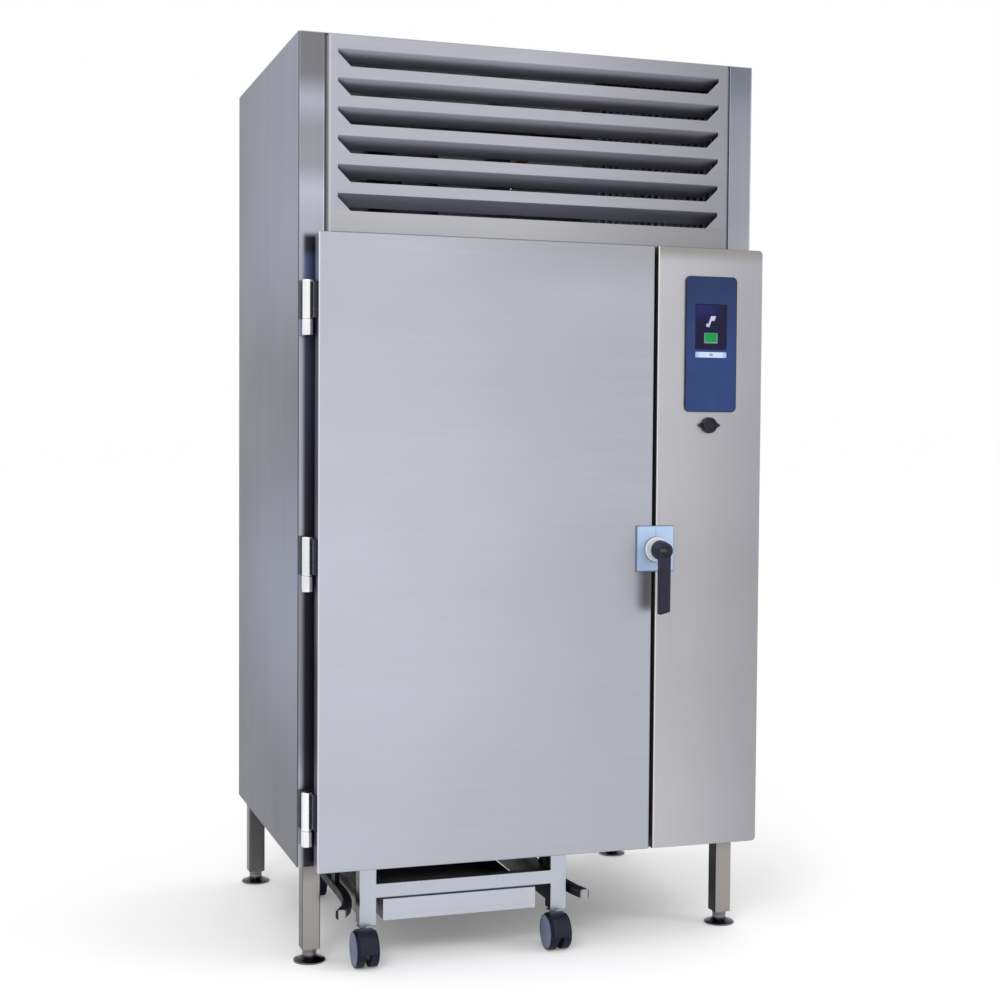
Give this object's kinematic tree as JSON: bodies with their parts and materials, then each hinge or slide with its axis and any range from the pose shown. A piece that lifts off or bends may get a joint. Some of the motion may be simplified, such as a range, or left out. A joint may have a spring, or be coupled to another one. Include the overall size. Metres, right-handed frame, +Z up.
{
  "type": "roll-in blast chiller",
  "caption": "Tall insulated steel cabinet on legs with a left-hinged door, a control column, a louvred machine compartment on top and a pan cart on casters.",
  "frame": {"origin": "middle of the whole model's footprint, on the floor", "axes": "+X to the right seen from the front, +Y from the door towards the back, +Z up"},
  "size_m": [1.324, 1.111, 2.5],
  "materials": {
    "front_steel": "vertical and horizontal brushed grain, satin",
    "side_steel": "brushed, satin, darker",
    "plain_steel": "plain rolled sheet",
    "leg_steel": "warm brushed tube",
    "insulation": "foam wall behind a thin steel lining",
    "bright_steel": "polished",
    "dark_metal": "dark satin paint",
    "black_plastic": "fine moulded grain",
    "seal_rubber": "matt",
    "blue_plastic": "satin printed film",
    "screen": "glossy lit display",
    "key_plastic": "pale lit key",
    "caster_tyre": "smooth tread, blue-grey side discs",
    "fin_metal": "plain fins and copper-coloured pipes"
  },
  "bodies": {
    "cabinet": {"left_side_panel": "side_steel", "right_side_panel": "side_steel", "back_panel": "plain_steel", "roof_panel": "plain_steel", "louvre_panel": "front_steel", "left_wall": "insulation", "right_wall": "insulation", "back_wall": "insulation", "ceiling_wall": "insulation", "insulated_floor": "insulation", "front_divider": "insulation", "fan_guard_panel": "front_steel", "evaporator_coil": "fin_metal", "evaporator_motors": "dark_metal", "condenser_coil": "fin_metal", "condenser_motor": "dark_metal", "compressor": "dark_metal", "refrigerant_line": "fin_metal", "control_column": "front_steel", "electrical_box": "dark_metal", "control_bezel": "blue_plastic", "touch_screen": "screen", "socket_cap": "black_plastic", "strike_plate": "bright_steel", "leg_front_left": "leg_steel", "foot_front_left": "leg_steel", "leg_front_right": "leg_steel", "foot_front_right": "leg_steel", "leg_rear_left": "leg_steel", "foot_rear_left": "leg_steel", "leg_rear_right": "leg_steel", "foot_rear_right": "leg_steel", "hinge_frame_top": "bright_steel", "hinge_frame_middle": "bright_steel", "hinge_frame_bottom": "bright_steel", "left_guide_rail": "dark_metal", "right_guide_rail": "dark_metal"},
    "door": {"door_panel": "front_steel", "door_liner": "insulation", "door_gasket": "seal_rubber", "hinge_door_top": "bright_steel", "hinge_door_middle": "bright_steel", "hinge_door_bottom": "bright_steel", "latch_plate": "bright_steel"},
    "handle": {"handle_lever": "black_plastic"},
    "key": {"power_key": "key_plastic"},
    "fan_lower": {"evaporator_fan_lower": "black_plastic"},
    "fan_upper": {"evaporator_fan_upper": "black_plastic"},
    "fan_condenser": {"condenser_fan": "black_plastic"},
    "cart": {"cart_frame": "front_steel", "pan_rack": "front_steel", "cart_tray": "front_steel"},
    "swivel_front_left": {"caster_front_left_hood": "black_plastic"},
    "wheels_front_left": {"caster_front_left_wheels": "caster_tyre"},
    "swivel_front_right": {"caster_front_right_hood": "black_plastic"},
    "wheels_front_right": {"caster_front_right_wheels": "caster_tyre"},
    "swivel_rear_left": {"caster_rear_left_hood": "black_plastic"},
    "wheels_rear_left": {"caster_rear_left_wheels": "caster_tyre"},
    "swivel_rear_right": {"caster_rear_right_hood": "black_plastic"},
    "wheels_rear_right": {"caster_rear_right_wheels": "caster_tyre"}
  },
  "joints": [
    {"name": "door_swing", "type": "hinge", "parent": "cabinet", "child": "door", "pos_m": [-0.644, -0.4365, 1.1], "axis": [0, 0, -1], "range_deg": [0, 110]},
    {"name": "handle_turn", "type": "hinge", "parent": "door", "child": "handle", "pos_m": [0.337, -0.5255, 1.121], "axis": [0, 1, 0], "range_deg": [0, 90]},
    {"name": "key_press", "type": "slide", "parent": "cabinet", "child": "key", "axis": [0, 1, 0], "range_m": [0, 0.0012], "stiffness_N_per_m": 300, "springref_m": -0.0015},
    {"name": "lower_fan_spin", "type": "hinge", "parent": "cabinet", "child": "fan_lower", "pos_m": [0.299, 0.079, 0.76], "axis": [1, 0, 0], "continuous": true},
    {"name": "upper_fan_spin", "type": "hinge", "parent": "cabinet", "child": "fan_upper", "pos_m": [0.299, 0.079, 1.5], "axis": [1, 0, 0], "continuous": true},
    {"name": "condenser_fan_spin", "type": "hinge", "parent": "cabinet", "child": "fan_condenser", "pos_m": [0.393, -0.1975, 2.2263], "axis": [0, 1, 0], "continuous": true},
    {"name": "cart_roll", "type": "slide", "parent": "cabinet", "child": "cart", "axis": [0, -1, 0], "range_m": [0, 0.25]},
    {"name": "front_left_swivel", "type": "hinge", "parent": "cart", "child": "swivel_front_left", "pos_m": [-0.485, -0.4055, 0.1], "axis": [0, 0, 1], "continuous": true},
    {"name": "front_left_roll", "type": "hinge", "parent": "swivel_front_left", "child": "wheels_front_left", "pos_m": [-0.485, -0.4375, 0.049], "axis": [1, 0, 0], "continuous": true},
    {"name": "front_right_swivel", "type": "hinge", "parent": "cart", "child": "swivel_front_right", "pos_m": [0.065, -0.4055, 0.1], "axis": [0, 0, 1], "continuous": true},
    {"name": "front_right_roll", "type": "hinge", "parent": "swivel_front_right", "child": "wheels_front_right", "pos_m": [0.065, -0.4375, 0.049], "axis": [1, 0, 0], "continuous": true},
    {"name": "rear_left_swivel", "type": "hinge", "parent": "cart", "child": "swivel_rear_left", "pos_m": [-0.471, 0.3145, 0.1], "axis": [0, 0, 1], "continuous": true},
    {"name": "rear_left_roll", "type": "hinge", "parent": "swivel_rear_left", "child": "wheels_rear_left", "pos_m": [-0.471, 0.2825, 0.049], "axis": [1, 0, 0], "continuous": true},
    {"name": "rear_right_swivel", "type": "hinge", "parent": "cart", "child": "swivel_rear_right", "pos_m": [0.079, 0.3145, 0.1], "axis": [0, 0, 1], "continuous": true},
    {"name": "rear_right_roll", "type": "hinge", "parent": "swivel_rear_right", "child": "wheels_rear_right", "pos_m": [0.079, 0.2825, 0.049], "axis": [1, 0, 0], "continuous": true}
  ],
  "couplings": [
    {"joint": "cart_roll", "follows": "door_swing", "m_per_rad": 0.13}
  ]
}
